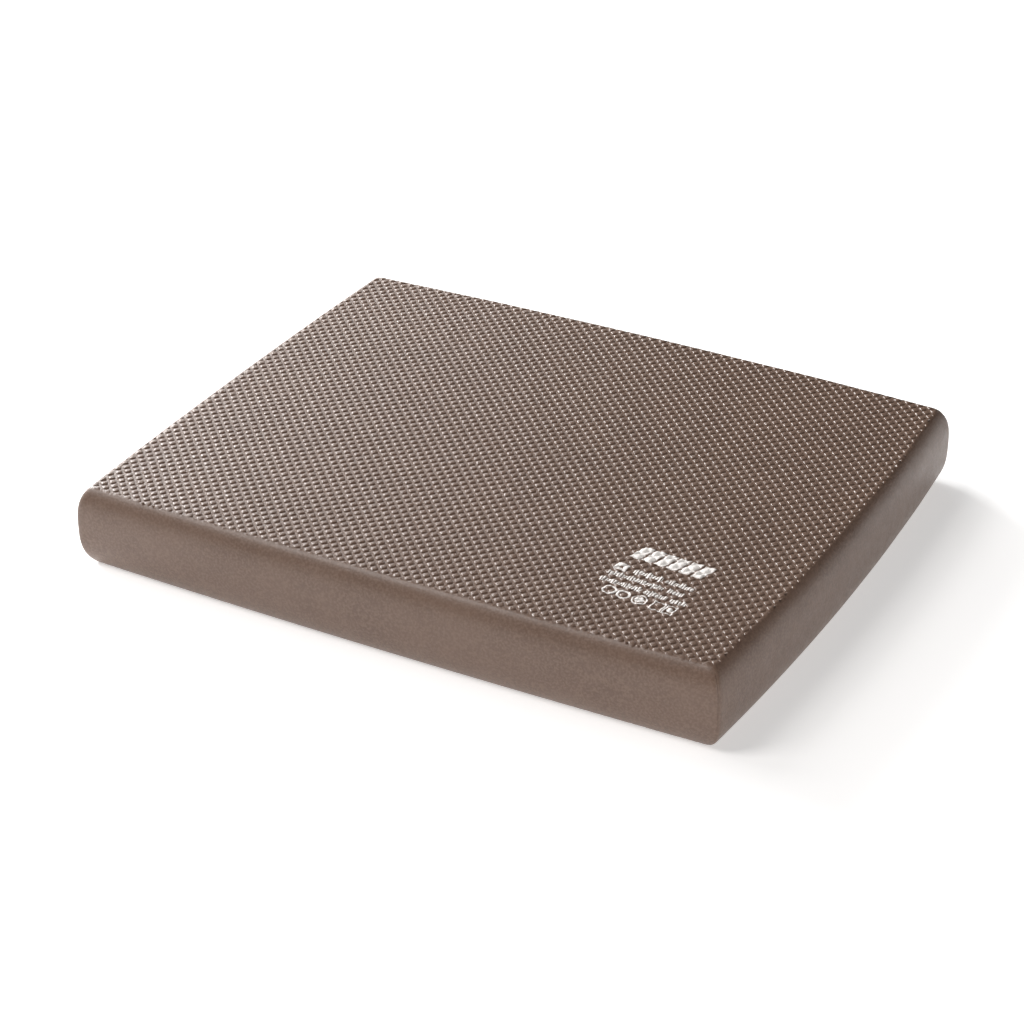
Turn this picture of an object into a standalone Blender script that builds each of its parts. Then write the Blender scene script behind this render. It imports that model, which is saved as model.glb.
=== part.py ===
"""Balance pad: a low cushion of closed-cell foam that a person stands on.

The foam core has a denser skin all round. The skin is in the six regions that differ in surface and
meet at a visible line: a studded skin above and below, and four smooth walls that bulge outwards and
meet at mitred corners. Three printed areas lie in the upper skin, near its front right corner.

Metres, +Z up. The origin is the centre of the underside, +X runs along the long sides, and -Y is the front.
"""

import math

import bmesh
import bpy
from mathutils import Matrix, Vector

# Overall size, at the widest outline, half way up the walls.
LENGTH = 0.500
WIDTH = 0.410
HEIGHT = 0.060

# Plan outline: each side bows out in its middle, by this much over its corners.
SHORT_SIDE_BOW = 0.006
LONG_SIDE_BOW = 0.004
CORNER_RADIUS = 0.006

# Wall profile: from its widest point the wall curves in to the flat faces above and below.
SHOULDER_INSET = 0.0094
SHOULDER_SQUARENESS = 3.0
SHOULDER_ROUNDNESS = 1.4

# Skins.
WALL_SKIN = 0.003
FACE_SKIN = 0.004
WALL_EDGE_HEIGHT = 0.058
WALL_EDGE_WIDTH = 0.0015
GAP = 0.0003

# The print is a block near the front right corner, turned a little against the edges.
# Each area of it has a centre along and across the block, a length and a width.
PRINT_CENTRE = Vector((0.159, -0.1235))
PRINT_TURN = math.radians(-4.4)
PRINTED_AREAS = {
    "print_mark": (-0.0015, 0.0307, 0.060, 0.022),
    "print_lines": (0.0, -0.0003, 0.064, 0.028),
    "print_icons": (0.0028, -0.0217, 0.056, 0.012),
}
INK_THICKNESS = 0.0003
INK_POCKET_DEPTH = 2 * GAP
INK_CORNER_RADIUS = 0.002

# Resolution.
SIDE_SEGMENTS = 6
HALF_CORNER_SEGMENTS = 3
WALL_SEGMENTS = 10
SHOULDER_SEGMENTS = 3

FOAM_COLOUR = (0.19, 0.15, 0.125, 1)
SKIN_COLOUR = (0.17, 0.135, 0.11, 1)
INK_COLOUR = (0.75, 0.73, 0.71, 1)


def clear_scene():
    for obj in list(bpy.data.objects):
        bpy.data.objects.remove(obj, do_unlink=True)


def material(name, colour, roughness):
    made = bpy.data.materials.new(name)
    made.use_nodes = True
    shader = made.node_tree.nodes["Principled BSDF"]
    shader.inputs["Base Color"].default_value = colour
    shader.inputs["Roughness"].default_value = roughness
    shader.inputs["Metallic"].default_value = 0
    return made


def add_object(name, bm, look):
    bmesh.ops.recalc_face_normals(bm, faces=bm.faces)
    if bm.calc_volume(signed=True) < 0:
        bmesh.ops.reverse_faces(bm, faces=bm.faces)
    mesh = bpy.data.meshes.new(name)
    bm.to_mesh(mesh)
    bm.free()
    mesh.materials.append(look)
    mesh.shade_smooth()
    mesh.set_sharp_from_angle(angle=math.radians(35))
    obj = bpy.data.objects.new(name, mesh)
    bpy.context.scene.collection.objects.link(obj)
    return obj


def inset_at(z):
    """How far the outside is in from the widest outline, at height z."""
    level = abs(2 * z / HEIGHT - 1)
    fullness = max(0.0, 1 - level**SHOULDER_SQUARENESS) ** (1 / SHOULDER_ROUNDNESS)
    return SHOULDER_INSET * (1 - fullness)


def half_corner(centre, radius, start):
    """Points on an eighth of a circle, from the angle start, in degrees, up to but without its end."""
    step = 45 / HALF_CORNER_SEGMENTS
    angles = [math.radians(start + step * i) for i in range(HALF_CORNER_SEGMENTS)]
    return [centre + radius * Vector((math.cos(a), math.sin(a))) for a in angles]


def side_points(side, inset, radius):
    """One side of the plan outline, counterclockwise from mitre to mitre. Side 0 is the front, 1 the right."""
    along = (LENGTH, WIDTH)[side % 2] / 2 - inset - (SHORT_SIDE_BOW, LONG_SIDE_BOW)[side % 2]
    out = (WIDTH, LENGTH)[side % 2] / 2 - inset
    bow = (LONG_SIDE_BOW, SHORT_SIDE_BOW)[side % 2]
    reach = along - radius
    arc_centre = Vector((reach, radius + bow - out))
    points = half_corner(Vector((-arc_centre.x, arc_centre.y)), radius, 225)
    for i in range(SIDE_SEGMENTS + 1):
        share = 2 * i / SIDE_SEGMENTS - 1
        points.append(Vector((share * reach, bow * share**2 - out)))
    points += half_corner(arc_centre, radius, 270)[1:]
    points.append(arc_centre + radius * Vector((math.sqrt(0.5), -math.sqrt(0.5))))
    turn = math.radians(90 * side)
    cos, sin = math.cos(turn), math.sin(turn)
    return [Vector((cos * p.x - sin * p.y, sin * p.x + cos * p.y)) for p in points]


def outline(inset, radius):
    return [p for side in range(4) for p in side_points(side, inset, radius)[:-1]]


def lofted(rings):
    """A closed body through rings of as many points each, with flat ends."""
    bm = bmesh.new()
    made = [[bm.verts.new(point) for point in points] for points in rings]
    for lower, upper in zip(made, made[1:]):
        for i in range(len(lower)):
            bm.faces.new((lower[i - 1], lower[i], upper[i], upper[i - 1]))
    bm.faces.new(made[0])
    bm.faces.new(made[-1])
    return bm


def level_ring(inset, radius, z):
    return [(p.x, p.y, z) for p in outline(inset, radius)]


def core_heights():
    """Heights for the core, close together at the shoulders where the outside curves most."""
    half = HEIGHT / 2 - FACE_SKIN - GAP
    steps = [math.sin(math.pi * (i / WALL_SEGMENTS - 0.5)) for i in range(WALL_SEGMENTS + 1)]
    return [HEIGHT / 2 + half * s for s in steps]


def make_core():
    depth = WALL_SKIN + GAP
    rings = [level_ring(inset_at(z) + depth, CORNER_RADIUS - depth, z) for z in core_heights()]
    add_object("foam_core", lofted(rings), material("foam_core", FOAM_COLOUR, 0.85))


def wall_profile():
    """The wall's closed section, as pairs of depth behind the widest outline and height."""
    low = HEIGHT - WALL_EDGE_HEIGHT
    outer = [low, *core_heights(), WALL_EDGE_HEIGHT]
    edge = inset_at(WALL_EDGE_HEIGHT)
    section = [(inset_at(z), z, False) for z in outer]
    section.append((edge + WALL_EDGE_WIDTH, WALL_EDGE_HEIGHT, True))
    section += [(inset_at(z) + WALL_SKIN, z, True) for z in reversed(core_heights())]
    section.append((edge + WALL_EDGE_WIDTH, low, True))
    return section


def make_wall(name, side):
    """A wall is the section swept along its side, with each end drawn back half a gap from the mitre."""
    strips = []
    for inset, z, inner in wall_profile():
        radius = CORNER_RADIUS - (WALL_SKIN if inner else 0)
        strips.append([(p.x, p.y, z) for p in side_points(side, inset, radius)])
    rings = [[Vector(strip[i]) for strip in strips] for i in range(len(strips[0]))]
    for end, direction in ((0, 1), (-1, -1)):
        turn = math.radians(90 * side - direction * 45)
        back = Vector((math.cos(turn), math.sin(turn), 0)) * direction * GAP / 2
        rings[end] = [point + back for point in rings[end]]
    add_object(name, lofted(rings), material(name, SKIN_COLOUR, 0.6))


def face_rings():
    """Rings of the upper skin: a plug inside the walls, and over it a lip out to the shoulder."""
    plug = inset_at(WALL_EDGE_HEIGHT) + WALL_EDGE_WIDTH + GAP
    plug_radius = CORNER_RADIUS - WALL_SKIN
    lip = WALL_EDGE_HEIGHT + GAP
    rings = [level_ring(plug, plug_radius, z) for z in (HEIGHT - FACE_SKIN, lip)]
    for i in range(SHOULDER_SEGMENTS + 1):
        z = HEIGHT - (HEIGHT - lip) * (1 - i / SHOULDER_SEGMENTS) ** 2
        rings.append(level_ring(inset_at(z), CORNER_RADIUS, z))
    return rings


def print_plate(area, margin, bottom, top):
    """A flat plate with rounded corners over a printed area."""
    along, across, length, width = area
    radius = INK_CORNER_RADIUS + margin
    x = length / 2 + margin - radius
    y = width / 2 + margin - radius
    points = []
    for corner, (sx, sy) in enumerate(((1, 1), (-1, 1), (-1, -1), (1, -1))):
        for i in range(HALF_CORNER_SEGMENTS + 1):
            angle = math.radians(90 * (corner + i / HALF_CORNER_SEGMENTS))
            arc = radius * Vector((math.cos(angle), math.sin(angle)))
            point = Vector((along + sx * x, across + sy * y)) + arc
            point.rotate(Matrix.Rotation(PRINT_TURN, 2))
            points.append(PRINT_CENTRE + point)
    return lofted([[(p.x, p.y, z) for p in points] for z in (bottom, top)])


def make_upper_skin():
    skin = add_object("top_skin", lofted(face_rings()), material("top_skin", SKIN_COLOUR, 0.65))
    for name, area in PRINTED_AREAS.items():
        pocket = print_plate(area, GAP, HEIGHT - INK_POCKET_DEPTH, HEIGHT + GAP)
        cutter = add_object(f"{name}_pocket", pocket, material(f"{name}_pocket", INK_COLOUR, 0.5))
        cutter.hide_render = True
        cutter.display_type = "WIRE"
        cut = skin.modifiers.new(cutter.name, "BOOLEAN")
        cut.operation = "DIFFERENCE"
        cut.object = cutter


def make_lower_skin():
    rings = [[(x, y, HEIGHT - z) for x, y, z in points] for points in reversed(face_rings())]
    add_object("bottom_skin", lofted(rings), material("bottom_skin", SKIN_COLOUR, 0.65))


def make_prints():
    for name, area in PRINTED_AREAS.items():
        plate = print_plate(area, 0, HEIGHT - INK_THICKNESS, HEIGHT)
        add_object(name, plate, material(name, INK_COLOUR, 0.5))


def main():
    clear_scene()
    make_core()
    for side, name in enumerate(("front_wall_skin", "right_wall_skin", "back_wall_skin", "left_wall_skin")):
        make_wall(name, side)
    make_upper_skin()
    make_lower_skin()
    make_prints()


main()
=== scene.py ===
"""The looks of a foam balance pad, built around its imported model.

The pad is one moulding of closed-cell foam. Its upper and lower faces are embossed with rows of small
studs, its four walls are smooth, bulge outwards and meet at mitred corners, and a small block of
white print lies near the front right corner.

Metres, +Z up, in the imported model's frame: +X runs along the long sides, and -Y is the front.
"""

import math

import bmesh
import bpy
import numpy as np
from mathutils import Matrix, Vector
from mathutils.geometry import delaunay_2d_cdt


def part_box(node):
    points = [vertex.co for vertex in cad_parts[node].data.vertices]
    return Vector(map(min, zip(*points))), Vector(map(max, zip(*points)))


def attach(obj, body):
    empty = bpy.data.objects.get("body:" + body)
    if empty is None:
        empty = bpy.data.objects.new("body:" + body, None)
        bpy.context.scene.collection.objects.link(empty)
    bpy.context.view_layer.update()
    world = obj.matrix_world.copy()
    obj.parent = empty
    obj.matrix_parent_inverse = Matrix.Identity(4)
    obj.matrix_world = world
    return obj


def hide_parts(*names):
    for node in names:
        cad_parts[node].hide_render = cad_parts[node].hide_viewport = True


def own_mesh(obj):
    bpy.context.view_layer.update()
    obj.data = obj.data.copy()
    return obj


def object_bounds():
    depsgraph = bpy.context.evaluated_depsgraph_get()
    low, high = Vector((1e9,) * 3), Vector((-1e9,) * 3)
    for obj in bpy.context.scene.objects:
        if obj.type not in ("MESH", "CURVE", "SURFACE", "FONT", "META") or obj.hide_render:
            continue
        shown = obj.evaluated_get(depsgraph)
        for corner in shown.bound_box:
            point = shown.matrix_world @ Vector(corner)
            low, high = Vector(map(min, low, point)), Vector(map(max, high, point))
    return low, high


MM = 0.001
SEED = 7

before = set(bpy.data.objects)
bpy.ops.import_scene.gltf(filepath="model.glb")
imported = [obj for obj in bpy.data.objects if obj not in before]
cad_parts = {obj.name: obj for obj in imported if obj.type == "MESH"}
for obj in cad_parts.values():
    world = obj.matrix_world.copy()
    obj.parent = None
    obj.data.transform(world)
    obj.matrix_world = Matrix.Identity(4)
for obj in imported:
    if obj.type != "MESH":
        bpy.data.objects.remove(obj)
CAD_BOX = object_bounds()
LENGTH, WIDTH, HEIGHT = CAD_BOX[1] - CAD_BOX[0]
WALL_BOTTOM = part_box("front_wall_skin")[0].z
WALL_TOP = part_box("front_wall_skin")[1].z
CORE_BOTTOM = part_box("foam_core")[0].z
CORE_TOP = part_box("foam_core")[1].z

# The plan outline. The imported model's own bows place the corners, and between them each side has a bow
# that is a little uneven, counterclockwise from the front.
SHORT_SIDE_BOW = 6 * MM
LONG_SIDE_BOW = 4 * MM
SIDE_BOWS = (3.4 * MM, 7.5 * MM, 6.0 * MM, 3.2 * MM)
CORNER_RADIUS = 9 * MM
CORNER_TURN = math.radians(28)
CORNER_SPACING = 1.6

# The wall's profile, and how thick the skins are.
SHOULDER_INSET = 9.4 * MM
SHOULDER_SQUARENESS = 3.0
SHOULDER_ROUNDNESS = 1.4
WALL_SKIN = 3 * MM
WALL_EDGE_WIDTH = 1.5 * MM
FACE_SKIN = 4 * MM
CORE_CLEARANCE = 0.3 * MM
LIP_CLEARANCE = 0.05 * MM
LIP_WIDTH = 0.5 * MM

# Edges sharper than these aren't shaded smooth.
WALL_SHARP = math.radians(50)
FACE_SHARP = math.radians(75)

# Resolution of the outline, of the wall's section and of the core.
SIDE_STEPS = (100, 84)
HALF_CORNER_STEPS = 8
SECTION_STEPS = 40
INNER_STEPS = 6
CORE_STEPS = 12
CORE_THINNING = 4

# The waviness of the walls, which fades out towards their edges.
WAVE_HEIGHT = 0.12 * MM
WAVE_FADE = 6 * MM

# The seam where two walls meet: a fine groove, and a hair of room between them.
SEAM_DEPTH = 0.8 * MM
SEAM_WIDTH = 0.45 * MM
SEAM_FADE = 2.5 * MM
SEAM_GAP = 0.04 * MM

# The embossed lattice: studs stand at the corners and in the middle of a cell of this size. The channels
# between them deepen from nothing near the rim. A stud's profile gives its height, as a share of the
# channels' depth, at distances from its middle in lattice steps.
STUD_PITCH_X = 8.52 * MM
STUD_PITCH_Y = 8.72 * MM
EMBOSS_DEPTH = 0.62 * MM
EMBOSS_STARTS = 1.6 * MM
EMBOSS_FULL = 4.0 * MM
STRIP_MARGIN = 0.7 * MM
STUD_CHAMFER = 0.57
STUD_PROFILE = ((0.0, 1.0), (0.285, 0.90), (0.385, 0.0))
STUD_VARIATION = 0.07
VARIATION_MIDDLE = 0.3
VARIATION_SIZE = 400

# How far the studs' normals lean away from their middles, and how much they follow the way round.
CAP_TILT = math.radians(16)
EDGE_TILT = math.radians(30)
FOOT_TILT = math.radians(68)
SIDE_TURN = 0.35

# The print: a block turned a little against the edges, in its own millimetres from its centre.
PRINT_CENTRE = (159 * MM, -123.5 * MM)
PRINT_TURN = math.radians(-4.4)
INK_LIFT = 0.02 * MM
INK_THICKNESS = 0.06 * MM

# Points of the faces and of the ink that are nearer than this are one point.
FACE_MERGE = 0.0005 * MM
RIM_MERGE = 0.001 * MM
INK_MERGE = 0.002 * MM
RIM_TOLERANCE = 0.05 * MM

# Camera, aimed at a point beside the middle of the pad.
CAMERA_AZIMUTH = math.radians(28.44)
CAMERA_ELEVATION = math.radians(30.08)
CAMERA_DISTANCE = 1.90763
CAMERA_AIM = Vector((11.20 * MM, -39.63 * MM, HEIGHT / 2))
CAMERA_LENS = 96.24
CAMERA_SENSOR = 36.0

SKIN_DARK = (0.136, 0.086, 0.063, 1)
SKIN_LIGHT = (0.158, 0.101, 0.074, 1)
SKIN_SPECK = (0.194, 0.128, 0.096, 1)
INK_WHITE = (0.92, 0.89, 0.86, 1)
INK_GREY = (0.72, 0.68, 0.65, 1)
WHITE = (1, 1, 1, 1)
FLOOR_GREY = (0.88, 0.88, 0.88, 1)

# Soft boxes: name, place, the point that each is aimed at, size, power and colour. The first three stand to
# the left and the back left, and give the studs their glints. The overhead one makes the bright band along
# the front shoulder, and the right one fills the right wall.
LIGHTS = (
    ("key", (-2.5, 0.0, 2.5), (0, 0, 0), (1.4, 1.4), 27, (1, 1, 1)),
    ("side", (-2.21, 0.84, 1.08), (0, 0, 0), (1.46, 0.8), 88, (1, 1, 1)),
    ("sheen", (-1.86, 1.68, 0.70), (0, 0, 0), (1.8, 0.65), 18, (1, 1, 1)),
    ("overhead", (-2.0, -1.85, 3.5), (0, -0.2, 0), (1.5, 2.4), 92, (1, 0.97, 0.95)),
    ("right", (1.6, -1.2, 0.3), (0.2, 0, 0), (1.2, 0.4), 10, (1, 0.94, 0.89)),
)
FLOOR_RADIUS = 6
FLOOR_GLOW = 0.49
WORLD_STRENGTH = 0.06

rng = np.random.default_rng(SEED)


# ---------------------------------------------------------------- outline and profile


def inset_at(z):
    """How far the outside is in from the widest outline, at height z."""
    level = abs(2 * z / HEIGHT - 1)
    fullness = max(0.0, 1 - level**SHOULDER_SQUARENESS) ** (1 / SHOULDER_ROUNDNESS)
    return SHOULDER_INSET * (1 - fullness)


def height_at(inset):
    """The height of the upper shoulder at an inset: the inverse of inset_at."""
    fullness = np.clip(1 - inset / SHOULDER_INSET, 0, 1)
    level = (1 - fullness**SHOULDER_ROUNDNESS) ** (1 / SHOULDER_SQUARENESS)
    return HEIGHT / 2 * (1 + level)


def profile_lean(z):
    """How fast the inset grows with height, which sets how far the outside faces up."""
    step = 0.01 * MM
    return (inset_at(z + step) - inset_at(z - step)) / (2 * step)


def corner_reach(radius):
    """How far from the sharp corner a side starts to turn. Its arc meets the other side's at the mitre,
    where the two walls make a soft fold."""
    return radius * (1 - math.cos(CORNER_TURN) + math.sin(CORNER_TURN))


def side_line(side, inset, radius):
    """One side of the outline, counterclockwise from mitre to mitre. Side 0 is the front, 1 the right."""
    along = (LENGTH, WIDTH)[side % 2] / 2 - inset - (SHORT_SIDE_BOW, LONG_SIDE_BOW)[side % 2]
    bow = SIDE_BOWS[side]
    out = (WIDTH / 2 - LONG_SIDE_BOW, LENGTH / 2 - SHORT_SIDE_BOW)[side % 2] + bow - inset
    reach = along - corner_reach(radius)
    turned = CORNER_TURN * (1 - np.linspace(0, 1, HALF_CORNER_STEPS + 1) ** CORNER_SPACING)
    share = np.linspace(-1, 1, SIDE_STEPS[side % 2] + 1)
    straight = np.c_[share * reach, bow * share**2 - out]
    corner = np.c_[np.sin(turned), -np.cos(turned)] * radius
    right = (np.array([reach, radius + bow - out]) + corner)[::-1]
    left = right[::-1] * (-1, 1)
    points = np.vstack([left[:-1], straight, right[1:]])
    turn = math.radians(90 * side)
    cos, sin = math.cos(turn), math.sin(turn)
    return points @ np.array([[cos, sin], [-sin, cos]])


def outline(inset, radius):
    """All four sides of the plan, counterclockwise from the front left mitre."""
    return np.vstack([side_line(side, inset, radius)[:-1] for side in range(4)])


def outward(points, closed):
    """The horizontal direction out of a counterclockwise line, at each of its points."""
    if closed:
        along = np.roll(points, -1, axis=0) - np.roll(points, 1, axis=0)
    else:
        along = np.gradient(points, axis=0)
    across = np.c_[along[:, 1], -along[:, 0]]
    return across / np.linalg.norm(across, axis=1)[:, None]


def shoulder_normals(points, z, closed=True):
    """The outside's own normals along a line of it at height z."""
    flat = outward(points, closed)
    normals = np.c_[flat, np.full(len(flat), profile_lean(z))]
    return normals / np.linalg.norm(normals, axis=1)[:, None]


def inset_of(x, y):
    """How far points of the plan are in from the widest outline."""
    rim = inset_at(WALL_TOP)
    reach_x = LENGTH / 2 - SHORT_SIDE_BOW - corner_reach(CORNER_RADIUS) - rim
    reach_y = WIDTH / 2 - LONG_SIDE_BOW - corner_reach(CORNER_RADIUS) - rim
    front, right, back, left = SIDE_BOWS
    bow_x, bow_y = np.where(x > 0, right, left), np.where(y > 0, back, front)
    x, y = np.abs(x), np.abs(y)
    along = LENGTH / 2 - SHORT_SIDE_BOW - x + bow_x * (1 - np.minimum(1, y / reach_y) ** 2)
    across = WIDTH / 2 - LONG_SIDE_BOW - y + bow_y * (1 - np.minimum(1, x / reach_x) ** 2)
    near = np.maximum(0, corner_reach(CORNER_RADIUS) - np.abs(along - across))
    cut = (CORNER_RADIUS + near - np.sqrt((CORNER_RADIUS + near) ** 2 - 2 * near**2)) / 2
    return np.minimum(along, across) - cut


# ---------------------------------------------------------------- making pieces


def add_piece(name, points, faces, look):
    mesh = bpy.data.meshes.new(name)
    mesh.from_pydata(np.asarray(points).tolist(), [], [list(map(int, face)) for face in faces])
    mesh.update()
    mesh.materials.append(look)
    mesh.shade_smooth()
    piece = bpy.data.objects.new(name, mesh)
    bpy.context.scene.collection.objects.link(piece)
    return piece


def keep_normals(mesh, wanted):
    """Gives the corners at some vertices a stated normal, on faces that look that way, so that two
    pieces shade as one surface where they meet. wanted is vertex number to normal."""
    normals = np.zeros((len(mesh.loops), 3))
    for face in mesh.polygons:
        for loop in face.loop_indices:
            normal = wanted.get(mesh.loops[loop].vertex_index)
            if normal is not None and face.normal.dot(Vector(normal)) > 0.6:
                normals[loop] = normal
    mesh.normals_split_custom_set(normals.tolist())


def section_heights(low, high, steps):
    """Heights from low to high, close together at both ends, where the shoulders are."""
    middle, half = (high + low) / 2, (high - low) / 2
    return middle + half * np.sin(np.linspace(-np.pi / 2, np.pi / 2, steps + 1))


def smooth_step(share):
    share = np.clip(share, 0, 1)
    return share * share * (3 - 2 * share)


def unevenness(x, y, z):
    """The slight waviness of moulded foam, from -1 to 1, made of a few long waves."""
    waves = (
        np.sin(61 * x + 17 * y + 90 * z + 1.0)
        + np.sin(-43 * x + 71 * y - 60 * z + 2.3)
        + np.sin(127 * x - 89 * y + 150 * z + 0.4)
    )
    return waves / 3


def make_wall(name, side, look):
    """A wall: its section swept along its side, with the fine groove of the seam at both ends."""
    heights = section_heights(WALL_BOTTOM, WALL_TOP, SECTION_STEPS)
    strips = []
    for z in heights:
        line = side_line(side, inset_at(z), CORNER_RADIUS)
        out = outward(line, closed=False)
        steps = np.linalg.norm(np.diff(line, axis=0), axis=1)
        from_start = np.r_[0, np.cumsum(steps)]
        near = np.minimum(from_start, from_start[-1] - from_start)
        to_edge = min(WALL_TOP - z, z - WALL_BOTTOM)
        fade = smooth_step(to_edge / SEAM_FADE)
        turn = np.radians(90 * side + np.array([-135.0, -45.0]))
        out[0] = np.cos(turn[0]), np.sin(turn[0])
        out[-1] = np.cos(turn[1]), np.sin(turn[1])
        depth = SEAM_DEPTH * np.exp(-((near / SEAM_WIDTH) ** 2)) * fade
        wave = WAVE_HEIGHT * unevenness(line[:, 0], line[:, 1], z) * smooth_step(to_edge / WAVE_FADE)
        line = line + out * (wave - depth)[:, None]
        strips.append(np.c_[line, np.full(len(line), z)])
    for k, z in enumerate(np.linspace(WALL_TOP, WALL_BOTTOM, INNER_STEPS + 2)):
        depth = WALL_EDGE_WIDTH if k in (0, INNER_STEPS + 1) else WALL_SKIN
        line = side_line(side, inset_at(z) + depth, CORNER_RADIUS - depth)
        strips.append(np.c_[line, np.full(len(line), z)])
    grid = np.array(strips)
    angle = math.radians(90 * side)
    gap = np.array([math.cos(angle), math.sin(angle), 0]) * SEAM_GAP / 2
    grid[:, 0] += gap
    grid[:, -1] -= gap
    rows, columns = grid.shape[:2]
    index = np.arange(rows * columns).reshape(rows, columns)
    faces = []
    for row in range(rows):
        above = (row + 1) % rows
        faces += np.c_[index[row, :-1], index[row, 1:], index[above, 1:], index[above, :-1]].tolist()
    faces.append(index[:, 0].tolist())
    faces.append(index[::-1, -1].tolist())
    wall = add_piece(name, grid.reshape(-1, 3), faces, look)
    wall.data.set_sharp_from_angle(angle=WALL_SHARP)
    wanted = {}
    for row, z in ((0, heights[0]), (SECTION_STEPS, heights[-1])):
        line = side_line(side, inset_at(z), CORNER_RADIUS)
        normals = shoulder_normals(line, z, closed=False)
        wanted.update(zip(index[row].tolist(), normals.tolist()))
    keep_normals(wall.data, wanted)
    return wall


def make_core(look):
    """The soft foam inside the skins."""
    depth = WALL_SKIN + CORE_CLEARANCE
    rings = []
    for z in section_heights(CORE_BOTTOM, CORE_TOP, CORE_STEPS):
        ring = outline(inset_at(z) + depth, CORNER_RADIUS - depth)[::CORE_THINNING]
        rings.append(np.c_[ring, np.full(len(ring), z)])
    grid = np.array(rings)
    index = np.arange(grid.shape[0] * grid.shape[1]).reshape(grid.shape[:2])
    faces = []
    for lower, upper in zip(index, index[1:]):
        faces += np.c_[lower, np.roll(lower, -1), np.roll(upper, -1), upper].tolist()
    faces.append(index[0, ::-1].tolist())
    faces.append(index[-1].tolist())
    return add_piece("core", grid.reshape(-1, 3), faces, look)


# ---------------------------------------------------------------- embossed faces


def from_lattice(u, v):
    """Lattice coordinates, whose whole numbers are the studs' middles, to the plan."""
    return (u - v) * STUD_PITCH_X / 2, (u + v) * STUD_PITCH_Y / 2


def to_lattice(x, y):
    """The inverse of from_lattice."""
    a, b = 2 * x / STUD_PITCH_X, 2 * y / STUD_PITCH_Y
    return (a + b) / 2, (b - a) / 2


def octagon(reach):
    """Eight points round a square stud with chamfered corners, counterclockwise."""
    short = reach / STUD_CHAMFER - reach
    quarter = [(reach, -short), (reach, short)]
    return [
        (x * c - y * s, x * s + y * c) for c, s in ((1, 0), (0, 1), (-1, 0), (0, -1)) for x, y in quarter
    ]


STUD_POINTS = np.array([(0.0, 0.0), *octagon(STUD_PROFILE[1][0]), *octagon(STUD_PROFILE[2][0])])
CELL_CORNERS = np.array([(0.5, -0.5), (0.5, 0.5), (-0.5, 0.5), (-0.5, -0.5)])


def stud_faces():
    """Faces of one cell, as numbers into its 17 stud points and then its 4 corners."""
    faces = []
    for k in range(8):
        after = (k + 1) % 8
        faces.append((0, 1 + k, 1 + after))
        faces.append((1 + k, 9 + k, 9 + after, 1 + after))
    for side in range(4):
        low, high = 9 + 2 * side, 10 + 2 * side
        next_low = 9 + (2 * side + 2) % 8
        faces.append((low, 17 + side, 17 + (side + 1) % 4, high))
        faces.append((high, 17 + (side + 1) % 4, next_low))
    return faces


def stud_height(u, v):
    """The stud's height over the channels, from 0 to 1, in its own cell."""
    u, v = np.abs(u - np.round(u)), np.abs(v - np.round(v))
    away = np.maximum(np.maximum(u, v), (u + v) * STUD_CHAMFER)
    places, heights = zip(*STUD_PROFILE)
    return np.interp(away, places, heights)


def embossing(x, y):
    """How much of the embossing's depth there is at points of the plan: none near the rim."""
    share = (inset_of(x, y) - inset_at(WALL_TOP) - EMBOSS_STARTS) / (EMBOSS_FULL - EMBOSS_STARTS)
    return smooth_step(share)


def embossed_height(x, y, variation):
    """The height of the upper face: the smooth shoulder, with channels pressed into it."""
    u, v = to_lattice(x, y)
    uneven = variation[np.round(u).astype(int), np.round(v).astype(int)]
    depth = EMBOSS_DEPTH * embossing(x, y)
    return height_at(inset_of(x, y)) - depth * (1 - stud_height(u, v) * (1 - uneven))


def smooth_normals(x, y):
    """Normals of the upper face without its embossing."""
    step = 0.05 * MM
    rise_x = (height_at(inset_of(x + step, y)) - height_at(inset_of(x - step, y))) / (2 * step)
    rise_y = (height_at(inset_of(x, y + step)) - height_at(inset_of(x, y - step))) / (2 * step)
    normals = np.stack([-rise_x, -rise_y, np.ones_like(x)], axis=-1)
    return normals / np.linalg.norm(normals, axis=-1, keepdims=True)


def embossed_normals(plan, triangles):
    """A normal for each triangle's corner: flat channels, steep sides, and tops like small pillows."""
    x, y = plan[triangles][..., 0], plan[triangles][..., 1]
    cell_u, cell_v = (np.round(c) for c in to_lattice(x.mean(axis=1), y.mean(axis=1)))
    u, v = to_lattice(x, y)
    u, v = u - cell_u[:, None], v - cell_v[:, None]
    stud = stud_height(u, v)
    edge = STUD_PROFILE[1][1] - 0.01
    floor = (stud < 0.01).all(axis=1)[:, None]
    cap = (stud > edge).all(axis=1)[:, None]
    high, middle = stud > edge, stud > 0.99
    tilt = np.where(cap, np.where(middle, 0, CAP_TILT), np.where(high, EDGE_TILT, FOOT_TILT))
    tilt = np.where(floor, 0, tilt)
    tilt = np.arctan(np.tan(tilt) * embossing(x, y))
    angle = np.arctan2(v, u)
    side = np.round(angle / (np.pi / 2)) * np.pi / 2
    angle = side + (angle - side) * SIDE_TURN
    across_x, across_y = from_lattice(np.cos(angle), np.sin(angle))
    away = np.stack([across_x, across_y, np.zeros_like(across_x)], axis=-1)
    away /= np.linalg.norm(away, axis=-1, keepdims=True)
    normals = smooth_normals(x, y) * np.cos(tilt)[..., None] + away * np.sin(tilt)[..., None]
    return normals / np.linalg.norm(normals, axis=-1, keepdims=True)


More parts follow.
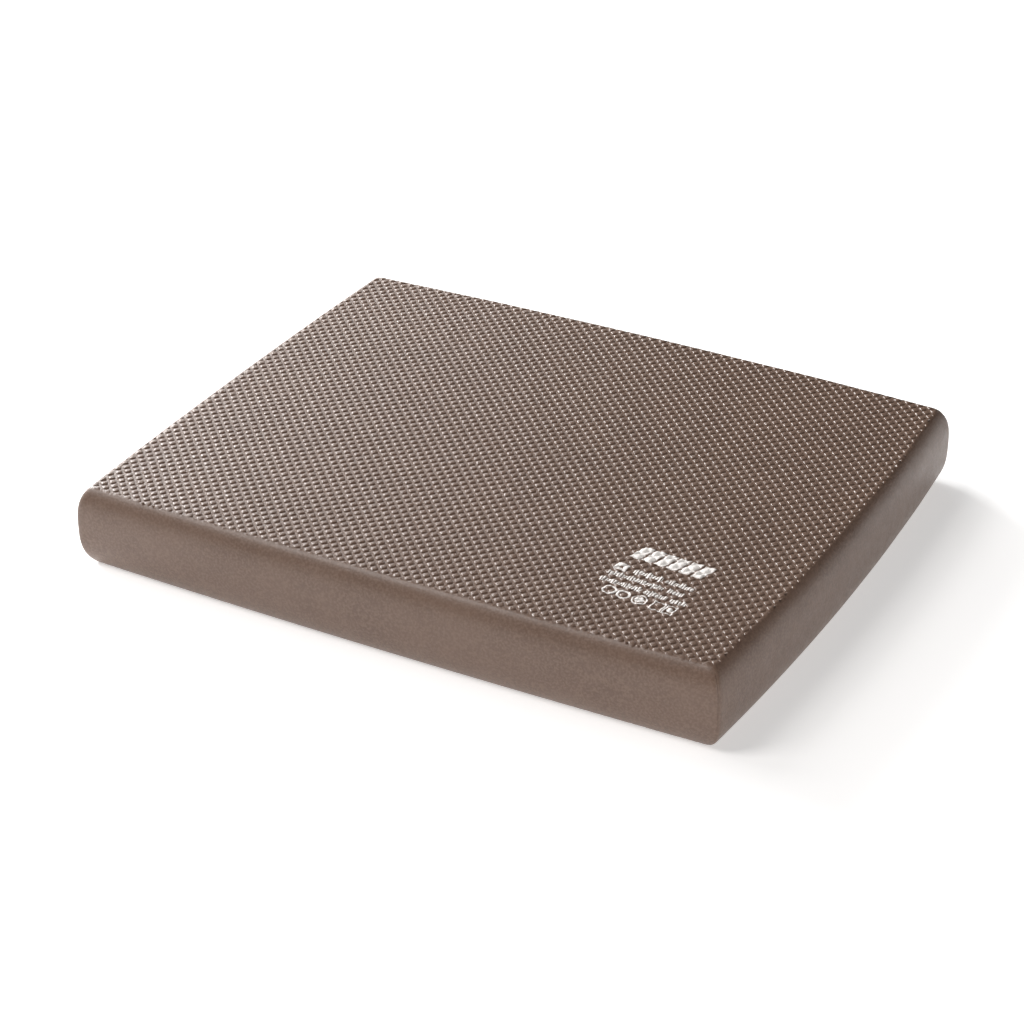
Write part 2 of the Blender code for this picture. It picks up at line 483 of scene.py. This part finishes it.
def lattice_cells():
    """Middles of the cells that lie wholly inside the rim, and of those that it cuts."""
    most = int(max(LENGTH / STUD_PITCH_X, WIDTH / STUD_PITCH_Y)) + 3
    count = np.arange(-2 * most, 2 * most + 1)
    cells = np.array([(i, j) for i in count for j in count])
    x, y = from_lattice(cells[:, 0], cells[:, 1])
    cells = cells[(np.abs(x) < LENGTH / 2) & (np.abs(y) < WIDTH / 2)]
    corners = cells[:, None, :] + CELL_CORNERS[None]
    x, y = from_lattice(corners[..., 0], corners[..., 1])
    inset = inset_of(x, y)
    rim = inset_at(WALL_TOP)
    inside = (inset > rim + EMBOSS_FULL / 2).all(axis=1)
    cut = ~inside & (inset > rim).any(axis=1)
    return cells[inside], cells[cut]


def within(points, ring):
    """Which points lie inside a closed line: those with an odd number of its edges to their right."""
    after = np.roll(ring, -1, axis=0)
    x, y = points[:, :1], points[:, 1:]
    crosses = (ring[:, 1] > y) != (after[:, 1] > y)
    rise = after[:, 1] - ring[:, 1]
    share = (y - ring[:, 1]) / np.where(rise == 0, 1, rise)
    edge_x = ring[:, 0] + share * (after[:, 0] - ring[:, 0])
    return (crosses & (x < edge_x)).sum(axis=1) % 2 == 1


def strip_triangles(inside, cut, ring):
    """The plan's triangles between the whole cells and the rim, as corners in metres."""
    scale = 1 / MM
    rim = inset_at(WALL_TOP)
    known = set(map(tuple, inside.tolist()))
    points = [tuple(p * scale) for p in ring]
    edges = {(i, (i + 1) % len(ring)) for i in range(len(ring))}
    numbers = {}

    def point_at(cell, local):
        """The number of a cell's point, or None for one too close to the rim."""
        at = (round(cell[0] + local[0], 6), round(cell[1] + local[1], 6))
        if at not in numbers:
            x, y = from_lattice(*at)
            if inset_of(x, y) > rim + STRIP_MARGIN:
                numbers[at] = len(points)
                points.append((x * scale, y * scale))
            else:
                numbers[at] = None
        return numbers[at]

    beyond = ((1, 0), (0, 1), (-1, 0), (0, -1))
    for cell in sorted(known):
        for k, (di, dj) in enumerate(beyond):
            if (cell[0] + di, cell[1] + dj) not in known:
                edges.add((point_at(cell, CELL_CORNERS[k]), point_at(cell, CELL_CORNERS[(k + 1) % 4])))
    local = np.vstack([STUD_POINTS, CELL_CORNERS])
    for cell in cut.tolist():
        for face in stud_faces():
            corners = [point_at(cell, local[i]) for i in face]
            for a, b in zip(corners, corners[1:] + corners[:1]):
                if a is not None and b is not None and (b, a) not in edges:
                    edges.add((a, b))
    band = outline(rim + STRIP_MARGIN, CORNER_RADIUS)[::2]
    points += [tuple(p * scale) for p in band]
    vectors = [Vector(p) for p in points]
    made = delaunay_2d_cdt(vectors, sorted(edges), [], 0, 1e-6, False)
    corners = np.array([tuple(v) for v in made[0]]) / scale
    triangles = np.array(made[2])
    middle = corners[triangles].mean(axis=1)
    u, v = to_lattice(middle[:, 0], middle[:, 1])
    whole = np.array([(i, j) in known for i, j in zip(np.round(u).astype(int), np.round(v).astype(int))])
    return corners[triangles[~whole & within(middle, ring)]]


def face_surface():
    """The embossed upper face as points and triangles, over the rim's ring."""
    inside, cut = lattice_cells()
    uneven = rng.random((VARIATION_SIZE, VARIATION_SIZE)) - VARIATION_MIDDLE
    variation = STUD_VARIATION * uneven
    ring = outline(inset_at(WALL_TOP), CORNER_RADIUS)
    local = np.vstack([STUD_POINTS, CELL_CORNERS])
    all_uv = inside[:, None, :] + local[None]
    x, y = from_lattice(all_uv[..., 0], all_uv[..., 1])
    cell_points = np.stack([x, y], axis=-1)
    soup = []
    for face in stud_faces():
        for k in range(1, len(face) - 1):
            soup.append(cell_points[:, [face[0], face[k], face[k + 1]]])
    soup.append(strip_triangles(inside, cut, ring))
    soup = np.concatenate(soup)
    key = np.round(soup.reshape(-1, 2) / FACE_MERGE).astype(np.int64)
    _, first, index = np.unique(key, axis=0, return_index=True, return_inverse=True)
    plan = soup.reshape(-1, 2)[first]
    triangles = index.reshape(-1, 3)
    first_corner, second_corner, third_corner = (plan[triangles[:, k]] for k in range(3))
    turned = np.cross(second_corner - first_corner, third_corner - first_corner)
    triangles[turned < 0] = triangles[turned < 0][:, ::-1]
    triangles = triangles[np.abs(turned) > 1e-12]
    z = embossed_height(plan[:, 0], plan[:, 1], variation)
    on_rim = inset_of(plan[:, 0], plan[:, 1]) < inset_at(WALL_TOP) + RIM_TOLERANCE
    z[on_rim] = WALL_TOP
    return np.c_[plan, z], triangles, embossed_normals(plan, triangles)


def make_face(name, surface, look, upper):
    """An embossed face with the lip and plug under it that fill the space inside the walls."""
    points, triangles, corner_normals = surface
    rim_z = WALL_TOP
    ring = outline(inset_at(rim_z), CORNER_RADIUS)
    lookup = {tuple(np.round(p[:2] / RIM_MERGE).astype(int)): i for i, p in enumerate(points)}
    rim = []
    for p in ring:
        at = np.round(p / RIM_MERGE).astype(int)
        near = [(at[0] + i, at[1] + j) for i in (0, -1, 1) for j in (0, -1, 1)]
        rim.append(next(lookup[q] for q in near if q in lookup))
    under = inset_at(rim_z) + WALL_EDGE_WIDTH + CORE_CLEARANCE
    levels = (
        (inset_at(rim_z) + LIP_WIDTH, CORNER_RADIUS - LIP_WIDTH, rim_z + LIP_CLEARANCE),
        (under, CORNER_RADIUS - WALL_SKIN, rim_z + LIP_CLEARANCE),
        (under, CORNER_RADIUS - WALL_SKIN, HEIGHT - FACE_SKIN),
    )
    faces = triangles.tolist()
    above = rim
    extra = []
    for inset, radius, z in levels:
        line = outline(inset, radius)
        start = len(points) + sum(map(len, extra))
        extra.append(np.c_[line, np.full(len(line), z)])
        below = list(range(start, start + len(line)))
        for i in range(len(line)):
            faces.append((above[i - 1], below[i - 1], below[i], above[i]))
        above = below
    faces.append(above[::-1])
    points = np.vstack([points, *extra])
    if not upper:
        points = points * (1, 1, -1) + (0, 0, HEIGHT)
        faces = [list(face)[::-1] for face in faces]
        corner_normals = corner_normals[:, ::-1] * (1, 1, -1)
    piece = add_piece(name, points, faces, look)
    piece.data.set_sharp_from_angle(angle=FACE_SHARP)
    normals = np.zeros((len(piece.data.loops), 3))
    normals[: 3 * len(triangles)] = corner_normals.reshape(-1, 3)
    piece.data.normals_split_custom_set(normals.tolist())
    return piece


# ---------------------------------------------------------------- print


def bar(x0, y0, x1, y1, slant=0.0):
    """A bar as a convex outline. Slant moves its upper edge along."""
    return [(x0, y0), (x1, y0), (x1 + slant, y1), (x0 + slant, y1)]


def ring_shape(x, y, outer, inner, steps=20):
    """A ring as convex segments."""
    made = []
    for k in range(steps):
        a, b = (math.radians(360.0 * i / steps) for i in (k, k + 1))
        corners = ((inner, a), (outer, a), (outer, b), (inner, b))
        made.append([(x + r * math.cos(t), y + r * math.sin(t)) for r, t in corners])
    return made


def disc(x, y, radius, steps=12):
    """A filled round as one convex outline."""
    turns = [2 * math.pi * k / steps for k in range(steps)]
    return [[(x + radius * math.cos(t), y + radius * math.sin(t)) for t in turns]]


def frame_shape(x0, y0, x1, y1, line):
    """A rectangular frame as four bars that meet at their corners."""
    return [
        bar(x0, y0, x1, y0 + line),
        bar(x0, y1 - line, x1, y1),
        bar(x0, y0 + line, x0 + line, y1 - line),
        bar(x1 - line, y0 + line, x1, y1 - line),
    ]


def ticks(x0, x1, y, height):
    """A row of upright ticks of uneven height, which stands for a printed word."""
    made = []
    x = x0
    while x < x1:
        wide = 1.1 + 0.7 * rng.random()
        tall = height * (1.0 if rng.random() < 0.3 else 0.78)
        drop = height * 0.25 if rng.random() < 0.15 else 0.0
        made.append(bar(x, y - drop, min(x + wide, x1), y + tall))
        x += wide + 0.5 + 0.2 * rng.random()
    return made


def mark_shapes(count=6, start=-30.0, wide=7.6, gap=1.6):
    """A row of slanted bars."""
    shapes = []
    x = start
    for _ in range(count):
        shapes.append(bar(x, 22.5, x + wide, 38.5, slant=3.4))
        x += wide + gap
    return shapes


def line_shapes():
    """A small square and three rows of words."""
    shapes = frame_shape(-31.5, 4.0, -22.5, 12.5, 3.0)
    rows = (
        (6.0, (-17.5, 3.5), (6.5, 27.0)),
        (-3.4, (-31.5, 9.5), (13.0, 24.5)),
        (-12.6, (-32.0, -1.5), (1.0, 17.5), (20.0, 31.5)),
    )
    for y, *words in rows:
        for x0, x1 in words:
            shapes += ticks(x0, x1, y, 5.2)
    return shapes


def icon_shapes():
    """Two rings, a dot in a ring, and two square frames side by side."""
    shapes = ring_shape(-19.3, -20.3, 5.2, 3.7)
    shapes += ring_shape(-8.8, -20.6, 5.0, 3.3)
    shapes += ring_shape(3.4, -20.9, 5.5, 4.5) + disc(3.4, -20.9, 3.3)
    shapes += frame_shape(12.4, -26.5, 21.4, -16.0, 1.0)
    shapes += frame_shape(22.0, -26.5, 29.6, -16.0, 1.0) + disc(25.8, -21.2, 2.2)
    return shapes


def clipped(polygon, a, b):
    """The part of a polygon in space that is to the left, in plan, of the line from a to b."""
    kept = []
    along = (b[0] - a[0], b[1] - a[1])
    sides = [along[0] * (p[1] - a[1]) - along[1] * (p[0] - a[0]) for p in polygon]
    for i, p in enumerate(polygon):
        q, here, there = polygon[i - 1], sides[i], sides[i - 1]
        if (here > 0) != (there > 0):
            share = there / (there - here)
            kept.append(tuple(q[k] + (p[k] - q[k]) * share for k in range(3)))
        if here > 0:
            kept.append(p)
    return kept


def make_print(name, shapes, surface, look):
    """A film of ink: the face's own triangles inside each shape, lifted off it and given a thickness."""
    points, triangles, _ = surface
    corners = points[triangles]
    low, high = corners[..., :2].min(axis=1), corners[..., :2].max(axis=1)
    cos, sin = math.cos(PRINT_TURN), math.sin(PRINT_TURN)
    bm = bmesh.new()
    made = {}

    def vertex(p):
        key = tuple(round(c / INK_MERGE) for c in p[:2])
        if key not in made:
            made[key] = bm.verts.new((p[0], p[1], p[2] + INK_LIFT))
        return made[key]

    for shape in shapes:
        placed = [
            (
                PRINT_CENTRE[0] + (cos * x - sin * y) * MM,
                PRINT_CENTRE[1] + (sin * x + cos * y) * MM,
            )
            for x, y in shape
        ]
        least, most = np.min(placed, axis=0), np.max(placed, axis=0)
        near = np.nonzero(((high > least) & (low < most)).all(axis=1))[0]
        for t in near:
            polygon = [tuple(p) for p in corners[t].tolist()]
            for a, b in zip(placed, placed[1:] + placed[:1]):
                polygon = clipped(polygon, a, b)
                if not polygon:
                    break
            loop = []
            for p in polygon:
                v = vertex(p)
                if v not in loop:
                    loop.append(v)
            if len(loop) > 2 and not bm.faces.get(loop):
                bm.faces.new(loop)
    bmesh.ops.recalc_face_normals(bm, faces=bm.faces)
    mesh = bpy.data.meshes.new(name)
    bm.to_mesh(mesh)
    bm.free()
    mesh.materials.append(look)
    mesh.shade_smooth()
    piece = bpy.data.objects.new(name, mesh)
    bpy.context.scene.collection.objects.link(piece)
    film = piece.modifiers.new("film", "SOLIDIFY")
    film.thickness = INK_THICKNESS
    film.offset = 1
    return piece


# ---------------------------------------------------------------- materials


def node(tree, kind, inputs=(), **settings):
    made = tree.nodes.new(kind)
    for key, value in settings.items():
        setattr(made, key, value)
    for key, value in dict(inputs).items():
        if isinstance(value, bpy.types.NodeSocket):
            tree.links.new(value, made.inputs[key])
        else:
            made.inputs[key].default_value = value
    return made


def noise(tree, place, scale, detail=3.0, roughness=0.5):
    return node(
        tree,
        "ShaderNodeTexNoise",
        {"Vector": place, "Scale": scale, "Detail": detail, "Roughness": roughness},
    ).outputs["Fac"]


def ranged(tree, value, low, high, to_low, to_high):
    """A value's range from low to high stretched to another range."""
    return node(
        tree,
        "ShaderNodeMapRange",
        {"Value": value, "From Min": low, "From Max": high, "To Min": to_low, "To Max": to_high},
    ).outputs["Result"]


def mixed(tree, share, first, second):
    """A colour between two colours."""
    made = node(tree, "ShaderNodeMix", data_type="RGBA")
    for socket, value in ((made.inputs[0], share), (made.inputs[6], first), (made.inputs[7], second)):
        if isinstance(value, bpy.types.NodeSocket):
            tree.links.new(value, socket)
        else:
            socket.default_value = value
    return made.outputs[2]


def new_material(name):
    made = bpy.data.materials.new(name)
    made.use_nodes = True
    tree = made.node_tree
    shader = tree.nodes["Principled BSDF"]
    place = tree.nodes.new("ShaderNodeTexCoord").outputs["Object"]
    return made, tree, shader, place


def foam_skin(name, grain, grain_scale, roughness):
    """The dense, faintly satin skin of moulded foam: taupe, mottled, with a fine sandy grain."""
    made, tree, shader, place = new_material(name)
    mottle = noise(tree, place, 28, 4)
    speckle = noise(tree, place, 600, 2)
    base = mixed(tree, ranged(tree, mottle, 0.35, 0.65, 0, 1), SKIN_DARK, SKIN_LIGHT)
    colour = mixed(tree, ranged(tree, speckle, 0.4, 0.65, 0, 0.9), base, SKIN_SPECK)
    tree.links.new(colour, shader.inputs["Base Color"])
    rough = ranged(tree, noise(tree, place, 140, 3), 0.3, 0.7, roughness - 0.04, roughness + 0.05)
    tree.links.new(rough, shader.inputs["Roughness"])
    fine = noise(tree, place, grain_scale, 3, 0.6)
    bump = node(tree, "ShaderNodeBump", {"Height": fine, "Strength": grain, "Distance": 0.0007})
    tree.links.new(bump.outputs["Normal"], shader.inputs["Normal"])
    return made


def foam_inside():
    """The cut foam: lighter and quite dull, with open cells."""
    made, tree, shader, place = new_material("foam_inside")
    cells = node(tree, "ShaderNodeTexVoronoi", {"Vector": place, "Scale": 900}).outputs["Distance"]
    colour = mixed(tree, ranged(tree, cells, 0.1, 0.7, 0, 1), SKIN_DARK, SKIN_SPECK)
    tree.links.new(colour, shader.inputs["Base Color"])
    shader.inputs["Roughness"].default_value = 0.9
    bump = node(tree, "ShaderNodeBump", {"Height": cells, "Strength": 0.8, "Distance": 0.0005})
    tree.links.new(bump.outputs["Normal"], shader.inputs["Normal"])
    return made


def ink():
    """White screen ink, thin and a little worn, so that the foam shows through in specks."""
    made, tree, shader, place = new_material("ink")
    worn = ranged(tree, noise(tree, place, 1100, 3, 0.6), 0.62, 0.7, 0, 0.7)
    white = mixed(tree, noise(tree, place, 300, 2), INK_WHITE, INK_GREY)
    tree.links.new(mixed(tree, worn, white, SKIN_DARK), shader.inputs["Base Color"])
    shader.inputs["Roughness"].default_value = 0.6
    grain = noise(tree, place, 1500, 2)
    bump = node(tree, "ShaderNodeBump", {"Height": grain, "Strength": 0.3, "Distance": 0.0002})
    tree.links.new(bump.outputs["Normal"], shader.inputs["Normal"])
    return made


def plain(name, colour, roughness, glow):
    """The floor's material: one colour, with a little light of its own."""
    made = bpy.data.materials.new(name)
    made.use_nodes = True
    shader = made.node_tree.nodes["Principled BSDF"]
    shader.inputs["Base Color"].default_value = colour
    shader.inputs["Roughness"].default_value = roughness
    shader.inputs["Emission Color"].default_value = WHITE
    shader.inputs["Emission Strength"].default_value = glow
    return made


# ---------------------------------------------------------------- stage


def add_light(name, place, aim, size, power, colour):
    """A rectangular soft box. Its power is in watts."""
    data = bpy.data.lights.new(name, "AREA")
    data.shape = "RECTANGLE"
    data.size, data.size_y = size
    data.energy = power
    data.color = colour
    lamp = bpy.data.objects.new(name, data)
    lamp.location = place
    lamp.rotation_euler = (Vector(aim) - Vector(place)).to_track_quat("-Z", "Y").to_euler()
    bpy.context.scene.collection.objects.link(lamp)


def add_camera():
    """A long lens that looks down at the front right corner."""
    data = bpy.data.cameras.new("camera")
    data.lens = CAMERA_LENS
    data.sensor_width = CAMERA_SENSOR
    data.clip_start = 0.05
    level = math.cos(CAMERA_ELEVATION)
    back = Vector(
        (
            math.sin(CAMERA_AZIMUTH) * level,
            -math.cos(CAMERA_AZIMUTH) * level,
            math.sin(CAMERA_ELEVATION),
        )
    )
    camera = bpy.data.objects.new("camera", data)
    camera.location = CAMERA_AIM + back * CAMERA_DISTANCE
    camera.rotation_euler = (-back).to_track_quat("-Z", "Y").to_euler()
    bpy.context.scene.collection.objects.link(camera)
    bpy.context.scene.camera = camera


def add_stage():
    """A pale floor under soft studio light that comes mostly from the left."""
    bpy.ops.mesh.primitive_circle_add(vertices=96, radius=FLOOR_RADIUS, fill_type="NGON")
    floor = bpy.context.object
    floor.name = "floor"
    floor.data.materials.append(plain("floor", FLOOR_GREY, 0.9, glow=FLOOR_GLOW))
    world = bpy.data.worlds.new("world")
    world.use_nodes = True
    background = world.node_tree.nodes["Background"]
    background.inputs["Color"].default_value = WHITE
    background.inputs["Strength"].default_value = WORLD_STRENGTH
    bpy.context.scene.world = world
    bpy.context.scene.view_settings.view_transform = "Standard"
    for light in LIGHTS:
        add_light(*light)


# ---------------------------------------------------------------- assembly


def squash_under_press(piece):
    """Gives the piece a copy of its mesh that it alone uses."""
    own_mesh(piece)


def main():
    add_camera()
    add_stage()
    relief_skin = foam_skin("relief_skin", grain=0.25, grain_scale=1400, roughness=0.35)
    wall_skin = foam_skin("wall_skin", grain=0.35, grain_scale=700, roughness=0.40)
    white = ink()

    core = make_core(foam_inside())
    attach(core, "base")
    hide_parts("foam_core")
    squash_under_press(core)

    for side, place in enumerate(("front", "right", "back", "left")):
        wall = make_wall(f"{place}_wall", side, wall_skin)
        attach(wall, "base")
        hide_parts(f"{place}_wall_skin")
        squash_under_press(wall)

    surface = face_surface()
    top = make_face("top_face", surface, relief_skin, upper=True)
    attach(top, "top")
    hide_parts("top_skin")
    bottom = make_face("bottom_face", surface, relief_skin, upper=False)
    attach(bottom, "base")
    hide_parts("bottom_skin")

    prints = {"print_mark": mark_shapes, "print_lines": line_shapes, "print_icons": icon_shapes}
    for node_name, shapes in prints.items():
        film = make_print(f"{node_name}_film", shapes(), surface, white)
        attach(film, "top")
        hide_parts(node_name)


main()
